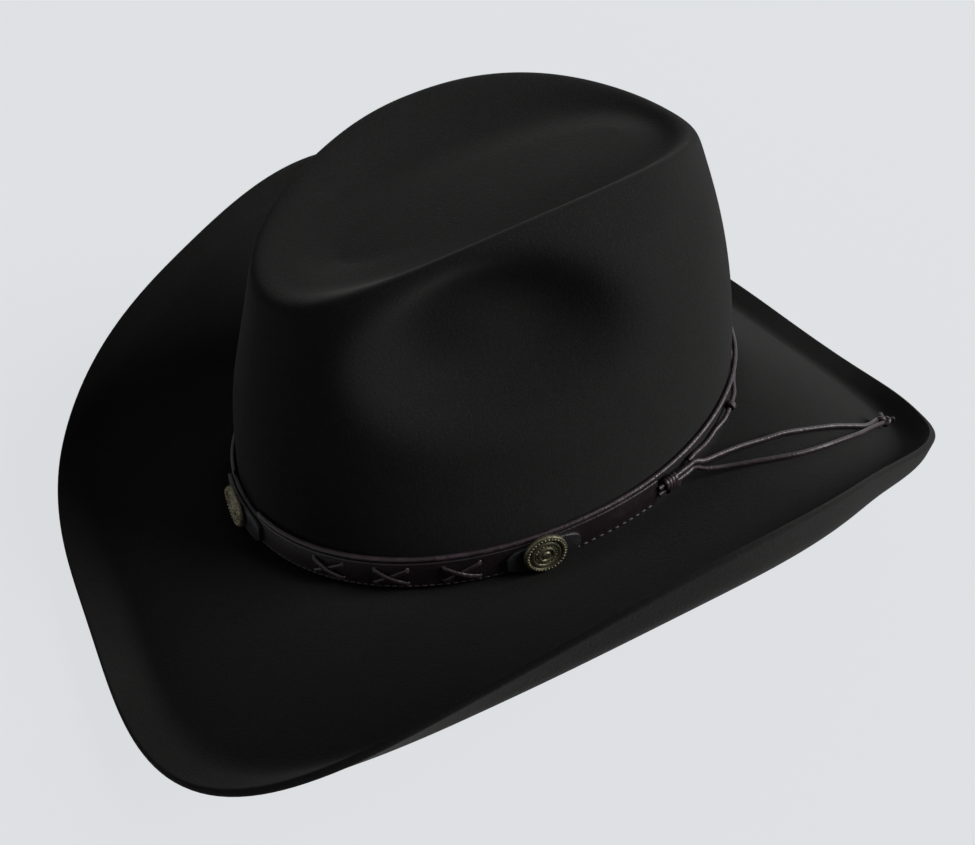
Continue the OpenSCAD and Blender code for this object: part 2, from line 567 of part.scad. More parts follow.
// Overhand knot that ties the two tails together, with its two short tips
module end_knot() {
    color("#2c2024") translate(END_KNOT_AT) {
        sphere(r = END_KNOT_R, $fn = 32);
        for (t = [-35, 35]) rotate([0, 0, 95 + t]) rotate([0, 80, 0])
            cylinder(d = lace_d - 0.2, h = END_KNOT_R + 3.5, $fn = 24);
    }
}

felt_body();
sweatband();
sweatband_reed();
sweatband_bow();
band_strap();
pad(CONCHO_AT[0]);  // front_pad
pad(CONCHO_AT[1]);  // left_pad
pad(CONCHO_AT[2]);  // right_pad
concho(CONCHO_AT[0]);  // front_concho
concho(CONCHO_AT[1]);  // left_concho
concho(CONCHO_AT[2]);  // right_concho
screw(CONCHO_AT[0]);  // front_screw
screw(CONCHO_AT[1]);  // left_screw
screw(CONCHO_AT[2]);  // right_screw
cross_lace(0);  // left_lace_a
cross_lace(1);  // left_lace_b
mirror([1, 0, 0]) cross_lace(0);  // right_lace_a
mirror([1, 0, 0]) cross_lace(1);  // right_lace_b
top_lace();
low_back_lace();
stop_knot();
slide_knot();
lead(LEAD_GAP / 2);  // upper_lead
lead(-LEAD_GAP / 2);  // lower_lead
tail(1, UPPER_ROUTE);  // upper_tail
tail(-1, LOWER_ROUTE);  // lower_tail
end_knot();
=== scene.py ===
"""Western felt hat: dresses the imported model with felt, leather, laces and conchos."""
import json
import math

import bmesh
import bpy
import numpy as np
from mathutils import Matrix, Vector


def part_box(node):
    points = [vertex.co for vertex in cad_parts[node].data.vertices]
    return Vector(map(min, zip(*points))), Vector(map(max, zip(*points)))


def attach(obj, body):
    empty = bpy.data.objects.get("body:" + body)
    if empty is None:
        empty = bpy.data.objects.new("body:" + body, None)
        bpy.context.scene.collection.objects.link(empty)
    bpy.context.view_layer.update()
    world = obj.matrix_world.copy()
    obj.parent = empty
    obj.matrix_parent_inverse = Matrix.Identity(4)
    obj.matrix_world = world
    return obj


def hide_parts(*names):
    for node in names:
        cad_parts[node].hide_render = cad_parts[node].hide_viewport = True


bl_info = {
    "name": "Western Felt Hat",
    "version": (1, 0, 0),
    "blender": (4, 5, 0),
    "location": "3D View > Sidebar > Hat",
    "description": "Makes the felt, sweatband, hat band, laces and conchos of a western hat",
    "category": "Object",
}

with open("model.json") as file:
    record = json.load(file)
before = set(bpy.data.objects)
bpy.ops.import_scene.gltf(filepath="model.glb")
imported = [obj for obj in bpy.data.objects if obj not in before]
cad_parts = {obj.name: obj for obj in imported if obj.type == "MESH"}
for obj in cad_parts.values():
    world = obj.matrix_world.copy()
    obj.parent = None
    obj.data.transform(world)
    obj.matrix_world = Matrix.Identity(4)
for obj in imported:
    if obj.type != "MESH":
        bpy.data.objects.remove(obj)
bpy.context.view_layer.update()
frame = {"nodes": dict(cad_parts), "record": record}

# Metres in a millimetre, and radians in a degree
MM = 0.001
D = math.pi / 180


# ---------------------------------------------------------------- sizes

class HatSizes(bpy.types.PropertyGroup):
    """Sizes of the felt, in millimetres and degrees"""
    oval_l: bpy.props.FloatProperty(
        name="Oval length", default=208,
        description="Length of the felt oval at the brim break, mm")
    oval_w: bpy.props.FloatProperty(
        name="Oval width", default=159,
        description="Width of the felt oval at the brim break, mm")
    oval_n: bpy.props.FloatProperty(
        name="Oval squareness", default=2.1,
        description="Squareness of the oval, where 2 is an ellipse")
    felt_t: bpy.props.FloatProperty(
        name="Felt thickness", default=2.5,
        description="Thickness of the felt, mm")
    break_sag: bpy.props.FloatProperty(
        name="Break sag", default=3,
        description="Sag of the brim break at the sides, mm")
    break_pitch: bpy.props.FloatProperty(
        name="Break pitch", default=10,
        description="Rise of the break from its middle to the back, mm")
    ridge: bpy.props.FloatVectorProperty(
        name="Ridge heights", size=3, default=(113, 85.2, 19.5),
        description="Ridge height at the back and front, and the extra height at the sides, mm")
    ridge_size: bpy.props.FloatVectorProperty(
        name="Ridge loop", size=3, default=(163, 110, 0.08),
        description="Length and width of the ridge loop, mm, and its pinch at the front")
    crest: bpy.props.FloatVectorProperty(
        name="Crest", size=2, default=(1.2, 3.6),
        description="Height of the soft crest over the ridge and how far back the ridge sits, mm")
    wall_power: bpy.props.FloatProperty(
        name="Wall power", default=2,
        description="Straightness of the crown wall")
    crease: bpy.props.FloatVectorProperty(
        name="Crease", size=4, default=(112, 109, 88, 2),
        description="Length of the crease, its floor height at the back and front, and its rise between "
                    "them, mm")
    crease_slope: bpy.props.FloatVectorProperty(
        name="Crease slope", size=4, default=(0.30, 0.60, 0.48, 1.06),
        description="Shares across and down of the two rows between ridge and crease")
    dent: bpy.props.FloatVectorProperty(
        name="Side dent", size=5, default=(16.6, 71, 0.725, 0.3, 1.3),
        description="Depth of the side dent, mm, its angle and height share, its tilt, and the depth of "
                    "the front pinch, mm")
    dent_reach: bpy.props.FloatVectorProperty(
        name="Dent reach", size=5, default=(26, 23.5, 0.2, 0.2, 4.4),
        description="Reach of the side dent to the front and back, degrees, down and up, as height "
                    "shares, and its squareness")
    brim_w: bpy.props.FloatVectorProperty(
        name="Brim widths", size=7, default=(72, 86, 88, 98, 78.5, 89, 108),
        description="Brim width every 30 degrees from the front to the back, mm")
    lie: bpy.props.FloatVectorProperty(
        name="Brim slope", size=3, default=(-22, 24, -29),
        description="Slope of the brim at the front, sides and back, degrees")
    sweep: bpy.props.FloatVectorProperty(
        name="Brim sweep", size=3, default=(-11, 28, -13),
        description="Further turn out to the edge at the front, sides and back, degrees")
    roll_h: bpy.props.FloatVectorProperty(
        name="Rolled edge", size=7, default=(14, 13, 12, 11, 9.5, 10, 14),
        description="Height of the rolled edge every 30 degrees from the front to the back, mm")
    roll_bend: bpy.props.FloatProperty(
        name="Roll bend", default=5,
        description="Half the bend at the foot of the rolled edge, mm")
    roll_angle: bpy.props.FloatVectorProperty(
        name="Roll angles", size=7, default=(12, 24, 76, 100, 98, 66, 14),
        description="Angle of the rolled edge every 30 degrees from the front to the back, degrees")
    root_w: bpy.props.FloatProperty(
        name="Root width", default=14,
        description="Flat width of the brim at the break, mm")


class BandSizes(bpy.types.PropertyGroup):
    """Sizes of the hat band, in millimetres and degrees"""
    strap: bpy.props.FloatVectorProperty(
        name="Strap", size=3, default=(11.4, 2, 1.6),
        description="Height, thickness and lower edge of the strap, mm")
    strap_end: bpy.props.FloatProperty(
        name="Strap end", default=103,
        description="Angle from the front at which the strap ends, degrees")
    concho_angle: bpy.props.FloatProperty(
        name="Concho angle", default=78,
        description="Angle from the front of the side conchos, degrees")
    concho: bpy.props.FloatVectorProperty(
        name="Concho", size=2, default=(16, 2.6),
        description="Diameter and thickness of a concho, mm")
    pad: bpy.props.FloatVectorProperty(
        name="Pad", size=2, default=(25, 1.6),
        description="Width and thickness of a concho's pad, mm")
    lace_d: bpy.props.FloatProperty(
        name="Lace diameter", default=2,
        description="Diameter of the leather lace, mm")
    cross_n: bpy.props.IntProperty(
        name="Crosses", default=3,
        description="Lace crosses on each side")


class HatLook(bpy.types.PropertyGroup):
    """Colours of the hat"""
    felt: bpy.props.FloatVectorProperty(
        name="Felt", subtype="COLOR", size=3, default=(0.0188, 0.0185, 0.0181),
        description="Colour of the felt")
    strap: bpy.props.FloatVectorProperty(
        name="Strap", subtype="COLOR", size=3, default=(0.018, 0.013, 0.015),
        description="Colour of the strap leather")
    lace: bpy.props.FloatVectorProperty(
        name="Lace", subtype="COLOR", size=3, default=(0.034, 0.023, 0.028),
        description="Colour of the lace leather")
    sweat: bpy.props.FloatVectorProperty(
        name="Sweatband", subtype="COLOR", size=3, default=(0.05, 0.03, 0.02),
        description="Colour of the sweatband leather")
    brass: bpy.props.FloatVectorProperty(
        name="Concho", subtype="COLOR", size=3, default=(0.36, 0.32, 0.21),
        description="Colour of the aged brass")
    floor: bpy.props.FloatVectorProperty(
        name="Floor", subtype="COLOR", size=3, default=(0.45, 0.46, 0.47),
        description="Colour of the floor")
    backdrop: bpy.props.FloatVectorProperty(
        name="Backdrop", subtype="COLOR", size=3, default=(0.83, 0.85, 0.87),
        description="Pale colour that the camera sees over the floor")


def sizes():
    return bpy.context.scene.hat_sizes


def band():
    return bpy.context.scene.band_sizes


def look():
    return bpy.context.scene.hat_look


# ---------------------------------------------------------------- shape of the hat, in millimetres

def spow(v, p):
    """Power that keeps the sign"""
    return np.sign(v) * np.abs(v) ** p


def smooth(k):
    """Soft step from 0 to 1"""
    k = np.clip(k, 0, 1)
    return k * k * (3 - 2 * k)


def through(p0, p1, p2, p3, u):
    """Smooth curve from p1 to p2, as u goes from 0 to 1, with p0 before it and p3 after it"""
    return 0.5 * (2 * p1 + (p2 - p0) * u + (2 * p0 - 5 * p1 + 4 * p2 - p3) * u ** 2
                  + (3 * p1 - p0 - 3 * p2 + p3) * u ** 3)


def around(keys, a):
    """Value at angle a (radians) from keys spread evenly from the front to the back"""
    n = len(keys) - 1
    s = np.abs((a + math.pi) % (2 * math.pi) - math.pi) * n / math.pi
    k = np.array([keys[1], *keys, keys[n - 1]])
    i = np.clip(np.floor(s).astype(int), 0, n - 1)
    u = s - i
    return through(k[i], k[i + 1], k[i + 2], k[i + 3], u)


def wave(v, a):
    """Value at angle a that swings smoothly between its front, side and back"""
    front, side, back = v
    return ((front + back + 2 * side) / 4 + (front - back) / 2 * np.cos(a)
            + (front + back - 2 * side) / 4 * np.cos(2 * a))


def break_point(a):
    """Points of the brim break, the oval where crown and brim meet, at angles a (radians)"""
    z = sizes()
    e = 2 / z.oval_n
    x = z.oval_w / 2 * spow(np.sin(a), e)
    y = -z.oval_l / 2 * spow(np.cos(a), e)
    return np.stack([x, y, -z.break_sag * np.sin(a) ** 2 - z.break_pitch * np.cos(a)], -1)


def out_dir(a):
    """Level directions square out of the brim break at angles a (radians)"""
    z = sizes()
    p = break_point(a)
    n = np.stack([p[..., 0] / (z.oval_w / 2) ** 2, p[..., 1] / (z.oval_l / 2) ** 2, 0 * a], -1)
    return n / np.linalg.norm(n, axis=-1, keepdims=True)


def facing(angle):
    """Level direction square out of the brim break at one angle in degrees"""
    return out_dir(np.array([angle * D]))[0]


def foot(angle):
    """Length of the brim break that one degree takes, at an angle in degrees"""
    before, behind = break_point(np.array([(angle - 1) * D, (angle + 1) * D]))
    return np.linalg.norm(behind - before) / 2


# Height shares of the crown's control rows on its wall, from the break to just under the ridge
WALL_ROWS = (0, 0.14, 0.38, 0.605, 0.78, 0.935)
RIDGE_ROW = len(WALL_ROWS)
CREASE_ROW = RIDGE_ROW + 3
# Rows of the wall that reach above the hat band and the sweatband
BAND_ROWS = 2.6
# Half the width of the crease's floor
CREASE_HALF = 15
# Row from which the dents fade into the ridge, and the rows that this takes
FADE_FROM, FADE_ROWS = 5.2, 1.2
# The front pinch: its middle and reach round the crown in degrees, the same up the wall as height shares,
# and its squareness
NOSE_ANGLE, NOSE_REACH, NOSE_HEIGHT, NOSE_TALL, NOSE_POWER = 17, 22, 0.74, 0.2, 2.6


def crown_rows(a):
    """Ten control rows of the crown at angles a: wall, ridge and crease"""
    z = sizes()
    b, c, s = break_point(a), np.cos(a), np.sin(a)
    f = (1 + c) / 2
    back, front, arch = z.ridge
    length, width, pinch = z.ridge_size
    r = np.stack([width / 2 * spow(s, 0.9) * (1 - pinch * f ** 1.2), -length / 2 * spow(c, 0.95) - z.crest[1],
                  back * (1 - f) + front * f + arch * s ** 2], -1)
    crease_l, crease_back, crease_front, rise = z.crease
    v = np.stack([CREASE_HALF * s, -crease_l / 2 * c,
                  crease_back * (1 - f) + crease_front * f + rise * s ** 2], -1)
    rows = []
    for k in WALL_ROWS:
        h = k ** z.wall_power
        p = b * (1 - h) + r * h
        p[:, 2] = b[:, 2] * (1 - k) + r[:, 2] * k
        rows.append(p)
    rows.append(r + np.array([0, 0, z.crest[0]]))
    for across, down in (z.crease_slope[:2], z.crease_slope[2:]):
        p = r * (1 - across) + v * across
        p[:, 2] = r[:, 2] * (1 - down) + v[:, 2] * down
        rows.append(p)
    rows.append(v)
    return np.stack(rows)


def bspline(c, v):
    """Cubic B-spline through rows c at v, one v for each column of c"""
    n = len(c) - 1
    c = np.concatenate([2 * c[:1] - c[1:2], c, 2 * c[-1:] - c[-2:-1]])
    i = np.clip(np.floor(v).astype(int), 0, n - 1)
    u = (v - i)[:, None]
    j = np.arange(c.shape[1])
    return ((1 - u) ** 3 * c[i, j] + (3 * u ** 3 - 6 * u ** 2 + 4) * c[i + 1, j]
            + (1 + 3 * u + 3 * u ** 2 - 3 * u ** 3) * c[i + 2, j] + u ** 3 * c[i + 3, j]) / 6


def pressed(a, k):
    """Depth of the side dent and the front pinch at angles a and height shares k"""
    z = sizes()
    depth, angle, height, tilt, pinch = z.dent
    front, back, low, high, power = z.dent_reach
    s = np.abs((a + math.pi) % (2 * math.pi) - math.pi) / D
    up = k - height
    along = s - angle + tilt * 100 * up
    q = np.hypot(along / np.where(along < 0, front, back), up / np.where(up < 0, low, high))
    nose = np.hypot((s - NOSE_ANGLE) / NOSE_REACH, (k - NOSE_HEIGHT) / NOSE_TALL)
    return depth * np.exp(-q ** power) + pinch * np.exp(-nose ** NOSE_POWER)


def crown(a, v):
    """Points of the crown's row v, with the dents pressed into the wall"""
    c = crown_rows(a)
    p = bspline(c, np.full(len(a), v))
    k = (p[:, 2] - c[0, :, 2]) / (c[RIDGE_ROW, :, 2] - sizes().crest[0] - c[0, :, 2])
    return p - out_dir(a) * (pressed(a, k) * (1 - smooth((v - FADE_FROM) / FADE_ROWS)))[:, None]


def wall(a, h, off=0.0):
    """Points on the crown's outside at angles a (degrees) and heights h above the break, moved out by off"""
    a, h, off = np.broadcast_arrays(np.asarray(a, float) * D, np.asarray(h, float), np.asarray(off, float))
    shape = a.shape
    a, h, off = a.ravel(), h.ravel(), off.ravel()
    c = crown_rows(a)
    vs = np.linspace(0, BAND_ROWS, 53)
    zs = np.stack([bspline(c, np.full(len(a), v))[:, 2] for v in vs]) - c[0, :, 2]
    v = np.array([np.interp(h[i], zs[:, i], vs) for i in range(len(a))])
    return (bspline(c, v) + out_dir(a) * off[:, None]).reshape(shape + (3,))


# How late the brim's sweep comes on its way to the edge, where 1 is evenly
SWEEP_POWER = 1.3


def brim(a, share):
    """Points on the brim's upper side at angles a (radians), with share 0 at the break and 1 at the edge"""
    z = sizes()
    bend = z.roll_bend
    cols, inv = np.unique(np.round(a, 9), return_inverse=True)
    w = around(list(z.brim_w), cols)
    angle = around(list(z.roll_angle), cols)
    steps = 240
    d = (np.arange(steps) + 0.5)[:, None] / steps * w
    start = w - around(list(z.roll_h), cols)
    lie = wave(z.lie, cols) + wave(z.sweep, cols) * np.clip(d / start, 0, 1) ** SWEEP_POWER
    q = smooth((d - start + bend) / (2 * bend))
    slope = (lie * smooth(d / z.root_w) * (1 - q) + angle * q) * D
    none = np.zeros((1, len(cols)))
    run = np.concatenate([none, np.cumsum(np.cos(slope) * w / steps, 0)])
    rise = np.concatenate([none, np.cumsum(np.sin(slope) * w / steps, 0)])
    s = np.linspace(0, 1, steps + 1)
    out, up = np.empty(len(a)), np.empty(len(a))
    for j in range(len(cols)):
        m = inv == j
        out[m] = np.interp(share[m], s, run[:, j])
        up[m] = np.interp(share[m], s, rise[:, j])
    p = break_point(a) + out_dir(a) * out[:, None]
    p[:, 2] += up
    return p


def hat_place():
    """The middle of the brim break in the row frame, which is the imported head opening"""
    return np.array(frame["record"]["mounts"][0]["pos_m"]) / MM


def wall_axes(angle, h):
    """Columns along the crown, up its wall and square out of it, at an angle in degrees and a height"""
    n = facing(angle)
    lean = unit(wall(angle, h + 4) - wall(angle, h - 4))
    along = unit(np.cross(lean, n))
    axis = np.cross(along, lean)
    axis = axis if axis @ n > 0 else -axis
    return np.stack([np.cross(lean, axis), lean, axis], 1)


def node_middle(node):
    """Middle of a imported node's box, in millimetres"""
    low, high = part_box(node)
    return (np.array(low) + np.array(high)) / 2 / MM


# ---------------------------------------------------------------- modelling helpers

def clear_selection():
    if bpy.context.object and bpy.context.object.mode != "OBJECT":
        bpy.ops.object.mode_set(mode="OBJECT")
    bpy.ops.object.select_all(action="DESELECT")


def pick(o):
    """Select one object alone"""
    clear_selection()
    o.select_set(True)
    bpy.context.view_layer.objects.active = o


def whole(o, *steps):
    """Run edit-mode steps on the whole of o"""
    pick(o)
    bpy.ops.object.mode_set(mode="EDIT")
    select_whole()
    for step in steps:
        step()
    bpy.ops.object.mode_set(mode="OBJECT")


def merge():
    bpy.ops.mesh.remove_doubles(threshold=2e-6)


def outward():
    bpy.ops.mesh.normals_make_consistent(inside=False)


def spin_round():
    bpy.ops.mesh.spin(steps=72, angle=2 * math.pi, center=(0, 0, 0), axis=(0, 0, 1))


def select_whole():
    bpy.ops.mesh.select_all(action="SELECT")


def close_ends():
    bpy.ops.mesh.fill_holes(sides=0)


def surface(name, points, wrap_u=False, wrap_v=False, cap=False):
    """Grid of faces through points[i][j] in millimetres, from the break's middle; wrapped sides are merged"""
    nu, nv = points.shape[:2]
    clear_selection()
    bpy.ops.mesh.primitive_grid_add(x_subdivisions=nu - 1, y_subdivisions=nv - 1, size=2, calc_uvs=True)
    o = bpy.context.object
    o.name = o.data.name = name
    co = np.array([v.co for v in o.data.vertices])
    i = np.rint((co[:, 0] + 1) / 2 * (nu - 1)).astype(int)
    j = np.rint((co[:, 1] + 1) / 2 * (nv - 1)).astype(int)
    o.data.vertices.foreach_set("co", (points[i, j] * MM).astype(np.float32).ravel())
    o.data.update()
    steps = []
    if wrap_u or wrap_v:
        steps.append(merge)
    if cap:
        steps.append(close_ends)
    if steps:
        whole(o, *steps)
    if wrap_v and (cap or wrap_u):
        whole(o, outward)
    return o


def finish_with(o, kind, **settings):
    """Add a modifier to o with these settings and apply it"""
    pick(o)
    m = o.modifiers.new(kind, kind)
    for k, v in settings.items():
        setattr(m, k, v)
    bpy.ops.object.modifier_apply(modifier=m.name)


def shade(o, angle):
    """Smooth shading, with a hard edge where faces meet at more than an angle in degrees"""
    pick(o)
    bpy.ops.object.shade_smooth_by_angle(angle=angle * D)


def unit(v):
    """Vectors made one long"""
    return v / np.maximum(np.linalg.norm(v, axis=-1, keepdims=True), 1e-9)


def carry(path, up):
    """Side vectors carried along a path with no twist"""
    t = unit(np.gradient(path, axis=0))
    out = []
    x = np.asarray(up, float)
    for d in t:
        x = unit(x - (x @ d) * d)
        out.append(x)
    return np.array(out)


def strand(name, path, w, t=None, side=None, sides=10, up=(0, 0, 1), closed=False, ends=True):
    """Leather lace of width w and thickness t along a path; side vectors give the way its width lies,
    and its free ends are rounded off where ends is true"""
    path = np.asarray(path, float)
    t = w if t is None else t
    n = len(path)
    if closed:
        head = unit(np.roll(path, -1, 0) - np.roll(path, 1, 0))
    else:
        head = unit(np.gradient(path, axis=0))
    if side is not None:
        x = np.broadcast_to(np.asarray(side, float), path.shape)
    elif closed:
        x = carry(np.concatenate([path, path[:1]]), up)
        turn = math.atan2(np.cross(x[0], x[-1]) @ head[0], x[0] @ x[-1])
        back = -turn * np.arange(n)[:, None] / n
        x = x[:-1] * np.cos(back) + np.cross(head, x[:-1]) * np.sin(back)
    else:
        x = carry(path, up)
    x = unit(x - (x * head).sum(1)[:, None] * head)
    y = np.cross(x, head)
    k = np.arange(sides + 1) / sides * 2 * math.pi
    grow = np.ones(n)
    if ends and not closed:
        grow[0] = grow[-1] = 0.6
    ring = np.cos(k)[None, :, None] * x[:, None] * (w / 2) + np.sin(k)[None, :, None] * y[:, None] * (t / 2)
    pts = path[:, None] + ring * grow[:, None, None]
    if closed:
        pts = np.concatenate([pts, pts[:1]])
    o = surface(name, pts, wrap_u=closed, wrap_v=True, cap=not closed)
    shade(o, 50)
    return o


def resample(path, step):
    """Points every step along a smooth curve through a path"""
    path = np.asarray(path, float)
    p = np.concatenate([2 * path[:1] - path[1:2], path, 2 * path[-1:] - path[-2:-1]])
    fine = []
    for i in range(len(path) - 1):
        fine.extend(through(*p[i:i + 4], u) for u in np.arange(0, 1, 0.05))
    fine.append(path[-1])
    fine = np.array(fine)
    s = np.concatenate([[0], np.cumsum(np.linalg.norm(np.diff(fine, axis=0), axis=1))])
    n = max(3, int(round(s[-1] / step)))
    return np.stack([np.interp(np.linspace(0, s[-1], n + 1), s, fine[:, k]) for k in range(3)], 1)


def studs(name, spots, segments=8, rings=5):
    """One mesh of rounded studs, each given as (middle, 3x3 axes scaled to its half sizes), in millimetres"""
    clear_selection()
    for k, (middle, axes) in enumerate(spots):
        size = np.linalg.norm(axes, axis=0)
        turn = Matrix((axes / size).tolist()).to_euler()
        bpy.ops.mesh.primitive_uv_sphere_add(
            segments=segments, ring_count=rings, radius=1, location=tuple(middle * MM), rotation=turn,
            scale=tuple(size * MM), calc_uvs=False)
        if k == 0:
            o = bpy.context.object
            o.name = o.data.name = name
            bpy.ops.object.transform_apply(location=True, rotation=True, scale=True)
            bpy.ops.object.mode_set(mode="EDIT")
    bpy.ops.object.mode_set(mode="OBJECT")
    shade(o, 60)
    return o


def wear(o, body, made_of, replaces=()):
    """Give a piece its body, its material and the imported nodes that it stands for"""
    o.data.materials.clear()
    o.data.materials.append(made_of)
    if replaces:
        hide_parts(*replaces)
    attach(o, body)
    return o


# ---------------------------------------------------------------- shader expressions

class Sock:
    """A shader socket or number with arithmetic; an expression adds its Math nodes"""

    def __init__(self, nodes, value):
        self.nodes, self.value = nodes, value

    def _math(self, op, other):
        other = other if isinstance(other, Sock) else Sock(self.nodes, other)
        return self.nodes.node("ShaderNodeMath", {"operation": op}, {0: self, 1: other})

    def __add__(self, other):
        return self._math("ADD", other)

    def __mul__(self, other):
        return self._math("MULTIPLY", other)

    def __sub__(self, other):
        return self._math("SUBTRACT", other)

    def __rsub__(self, other):
        return Sock(self.nodes, other) - self

    __radd__ = __add__
    __rmul__ = __mul__

    def most(self, other):
        """The greater of the two"""
        return self._math("MAXIMUM", other)

    def beside(self, name):
        """Another output of this socket's node"""
        return Sock(self.nodes, self.value.node.outputs[name])

    def above(self, edge, soft):
        """0 below an edge and 1 above it, with a soft step between"""
        return self.nodes.node("ShaderNodeMapRange", {"interpolation_type": "SMOOTHSTEP"},
                               {0: self, 1: edge - soft, 2: edge + soft})


class Nodes:
    """A node tree, to which nodes are added one by one"""

    def __init__(self, tree):
        self.tree = tree

    def put(self, socket, value):
        if isinstance(value, Sock):
            value = value.value
        if isinstance(value, bpy.types.NodeSocket):
            self.tree.links.new(value, socket)
        else:
            socket.default_value = value

    def node(self, kind, settings=None, inputs=None, out=0):
        """Add a node with its settings, then the values or links of its inputs, and return one output"""
        n = self.tree.nodes.new(kind)
        for k, v in (settings or {}).items():
            setattr(n, k, v)
        for k, v in (inputs or {}).items():
            self.put(n.inputs[k], v)
        return Sock(self, n.outputs[out])

    def mix(self, factor, a, b):
        a, b = (v if isinstance(v, Sock) else (*v, 1) for v in (a, b))
        return self.node("ShaderNodeMix", {"data_type": "RGBA"}, {0: factor, 6: a, 7: b}, out=2)


class Paint(Nodes):
    """One material's node tree, ending in a Principled shader"""

    def __init__(self, name):
        self.mat = bpy.data.materials.new(name)
        self.mat.use_nodes = True
        super().__init__(self.mat.node_tree)
        self.tree.nodes.clear()
        self.out = self.tree.nodes.new("ShaderNodeOutputMaterial")
        self.bsdf = self.tree.nodes.new("ShaderNodeBsdfPrincipled")
        self.tree.links.new(self.bsdf.outputs[0], self.out.inputs[0])
        self.place = self.node("ShaderNodeTexCoord").beside("Object")

    def noise(self, scale, detail=3, rough=0.5, distortion=0.0):
        return self.node("ShaderNodeTexNoise", {}, {
            "Vector": self.place, "Scale": scale, "Detail": detail, "Roughness": rough,
            "Distortion": distortion})

    def cells(self, scale):
        return self.node("ShaderNodeTexVoronoi", {"feature": "F1"}, {"Vector": self.place, "Scale": scale})

    def bump(self, height, strength, distance, over=None):
        inputs = {"Height": height, "Strength": strength, "Distance": distance}
        if over is not None:
            inputs["Normal"] = over
        return self.node("ShaderNodeBump", {}, inputs)

    def seen_as(self, colour, share):
        """Camera, glossy and transmission rays see this share of a plain colour over the lit surface,
        which keeps its shadows"""
        camera_ray = self.node("ShaderNodeLightPath")
        seen = camera_ray
        for ray in ("Is Glossy Ray", "Is Transmission Ray"):
            seen = seen.most(camera_ray.beside(ray))
        lit = Sock(self, self.bsdf.outputs[0])
        glow = self.node("ShaderNodeEmission", {}, {"Color": (*colour, 1), "Strength": 1.0})
        both = self.node("ShaderNodeMixShader", {}, {0: seen * share, 1: lit, 2: glow})
        self.tree.links.new(both.value, self.out.inputs[0])

    def finish(self, **values):
        for k, v in values.items():
            name = k.replace("_", " ").title().replace("Ior", "IOR")
            if isinstance(v, tuple) and len(v) == 3:
                v = (*v, 1)
            self.put(self.bsdf.inputs[name], v)
        return self.mat


def shade_of(c, k):
    """A colour made k times as bright"""
    return tuple(min(1.0, x * k) for x in c)


def felt_material():
    """Dark felt with a cloudy tone, paler and darker flecks, and a soft nap"""
    p = Paint("felt")
    c = tuple(look().felt)
    cloud = p.noise(38, 4, 0.6)
    fleck = p.noise(1500, 3, 0.65)
    hair = p.noise(620, 4, 0.7, distortion=1.2)
    tone = p.mix(cloud, shade_of(c, 0.80), shade_of(c, 1.24))
    tone = p.mix(fleck.above(0.62, 0.10) * 0.55, tone, shade_of(c, 1.9))
    tone = p.mix((1 - fleck).above(0.62, 0.10) * 0.45, tone, shade_of(c, 0.5))
    nap = p.bump(hair, 0.35, 0.0006)
    nap = p.bump(fleck, 0.45, 0.0003, over=nap)
    return p.finish(base_color=tone, roughness=0.93, specular_ior_level=0.06, normal=nap,
                    sheen_weight=0.10, sheen_roughness=0.45, sheen_tint=(0.8, 0.78, 0.76))


def leather_material(name, colour, roughness, grain, wear_amount, crease=0.5):
    """Dyed leather with pores, soft creases and paler wear"""
    p = Paint(name)
    c = tuple(colour)
    pores = p.cells(grain)
    folds = p.noise(260, 3, 0.55, distortion=0.8)
    patch = p.noise(70, 3, 0.6)
    tone = p.mix(patch, shade_of(c, 0.75), shade_of(c, 1.35))
    tone = p.mix(folds.above(0.6, 0.14) * wear_amount, tone, shade_of(c, 2.6))
    height = pores * 0.5 + folds * crease
    return p.finish(base_color=tone, roughness=roughness + (patch - 0.5) * 0.25, specular_ior_level=0.45,
                    normal=p.bump(height, 0.5, 0.00035))


def brass_material():
    """Aged brass with grime in its tone and its gloss"""
    p = Paint("antique_brass")
    c = tuple(look().brass)
    grime = p.noise(900, 4, 0.6)
    patch = p.noise(240, 3, 0.5)
    tone = p.mix(grime.above(0.52, 0.14), shade_of(c, 0.95), shade_of(c, 0.35))
    tone = p.mix(patch * 0.5, tone, (0.16, 0.17, 0.12))
    return p.finish(base_color=tone, metallic=0.85, roughness=0.40 + grime * 0.22,
                    normal=p.bump(grime, 0.25, 0.00012))


def plain_material(name, colour, roughness, grain, metallic=0.0):
    """Thread, plastic or metal with a fine grain"""
    p = Paint(name)
    n = p.noise(grain, 3, 0.6)
    tone = p.mix(n, shade_of(colour, 0.85), shade_of(colour, 1.18))
    return p.finish(base_color=tone, roughness=roughness + (n - 0.5) * 0.15, metallic=metallic,
                    normal=p.bump(n, 0.2, 0.0002))


def ribbon_material():
    """Grosgrain ribbon with fine cross ribs"""
    p = Paint("ribbon")
    ribs = p.node("ShaderNodeTexWave", {"wave_type": "BANDS", "bands_direction": "Z"},
                  {"Vector": p.place, "Scale": 420, "Distortion": 0.3})
    tone = p.mix(ribs, (0.008, 0.008, 0.009), (0.022, 0.021, 0.022))
    return p.finish(base_color=tone, roughness=0.55, sheen_weight=0.2, normal=p.bump(ribs, 0.5, 0.0002))


MATERIALS = {}


